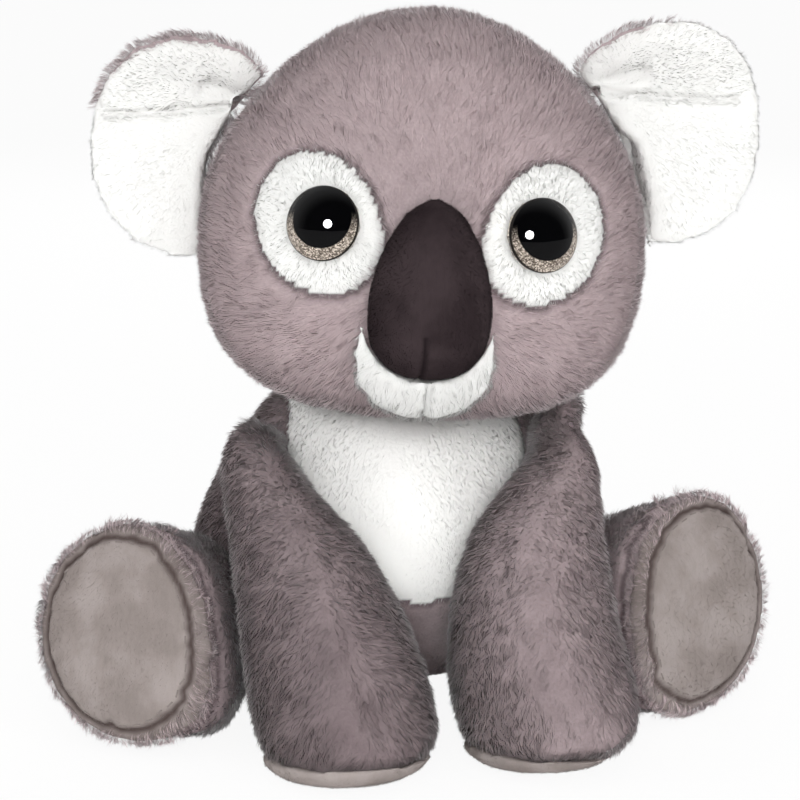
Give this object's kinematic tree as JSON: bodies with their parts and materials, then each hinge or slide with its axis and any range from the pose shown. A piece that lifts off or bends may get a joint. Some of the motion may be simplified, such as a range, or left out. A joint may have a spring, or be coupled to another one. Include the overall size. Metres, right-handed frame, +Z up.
{
  "type": "plush koala",
  "caption": "Seated plush koala with grey fur, white chest and ears, velvety nose, glitter eyes and velour soles, on a weighted seat.",
  "frame": {"origin": "on the ground, in the flat face that the seat rests on, below the torso", "axes": "+Z up, the face looks along -Y, the koala's left is +X"},
  "size_m": [0.308, 0.2168, 0.2888],
  "materials": {
    "grey_plush": "long soft pile",
    "white_plush": "long soft pile",
    "sole_velour": "short velour nap",
    "nose_velour": "short dark velour nap",
    "stuffing": "loose polyester fibre",
    "bead_cloth": "plain woven cotton over beads",
    "eye_plastic": "clear polished dome over a black pupil",
    "glitter_plastic": "silvery glitter",
    "washer_plastic": "as moulded"
  },
  "bodies": {
    "torso": {"body_cover": "grey_plush", "belly_panel": "white_plush", "seat_panel": "sole_velour", "body_stuffing": "stuffing", "bean_pouch": "bead_cloth"},
    "head": {"head_cover": "grey_plush", "head_stuffing": "stuffing", "nose_cover": "nose_velour", "nose_stuffing": "stuffing", "muzzle_patch": "white_plush", "eye_patch_left": "white_plush", "eye_patch_right": "white_plush", "eye_dome_left": "eye_plastic", "eye_dome_right": "eye_plastic", "eye_disc_left": "glitter_plastic", "eye_disc_right": "glitter_plastic", "eye_washer_left": "washer_plastic", "eye_washer_right": "washer_plastic"},
    "ear_left": {"ear_front_left": "white_plush", "ear_back_left": "grey_plush", "ear_wadding_left": "stuffing"},
    "ear_right": {"ear_front_right": "white_plush", "ear_back_right": "grey_plush", "ear_wadding_right": "stuffing"},
    "arm_left": {"arm_cover_left": "grey_plush", "paw_pad_left": "sole_velour", "arm_stuffing_left": "stuffing"},
    "arm_right": {"arm_cover_right": "grey_plush", "paw_pad_right": "sole_velour", "arm_stuffing_right": "stuffing"},
    "leg_left": {"leg_cover_left": "grey_plush", "sole_pad_left": "sole_velour", "leg_stuffing_left": "stuffing"},
    "leg_right": {"leg_cover_right": "grey_plush", "sole_pad_right": "sole_velour", "leg_stuffing_right": "stuffing"}
  },
  "joints": [
    {"name": "neck", "type": "hinge", "parent": "torso", "child": "head", "pos_m": [0.003, 0, 0.118], "axis": [0, 0, 1], "range_deg": [-15, 15], "stiffness_Nm_per_rad": 1},
    {"name": "ear_left", "type": "hinge", "parent": "head", "child": "ear_left", "pos_m": [0.08504, -0.02287, 0.22223], "axis": [-0.33, 0.0382, 0.9432], "range_deg": [-12, 12], "stiffness_Nm_per_rad": 0.3},
    {"name": "ear_right", "type": "hinge", "parent": "head", "child": "ear_right", "pos_m": [-0.06367, -0.00567, 0.23165], "axis": [-0.4448, 0.0515, -0.8942], "range_deg": [-12, 12], "stiffness_Nm_per_rad": 0.3},
    {"name": "shoulder_left", "type": "hinge", "parent": "torso", "child": "arm_left", "pos_m": [0.06, -0.024, 0.112], "axis": [-1, 0, 0], "range_deg": [0, 18], "stiffness_Nm_per_rad": 0.5},
    {"name": "shoulder_right", "type": "hinge", "parent": "torso", "child": "arm_right", "pos_m": [-0.056, -0.024, 0.112], "axis": [-1, 0, 0], "range_deg": [0, 18], "stiffness_Nm_per_rad": 0.5},
    {"name": "hip_left", "type": "hinge", "parent": "torso", "child": "leg_left", "pos_m": [0.07, -0.016, 0.04], "axis": [0, 0, 1], "range_deg": [-5, 10], "stiffness_Nm_per_rad": 0.5},
    {"name": "hip_right", "type": "hinge", "parent": "torso", "child": "leg_right", "pos_m": [-0.066, -0.016, 0.04], "axis": [0, 0, -1], "range_deg": [-5, 10], "stiffness_Nm_per_rad": 0.5}
  ]
}
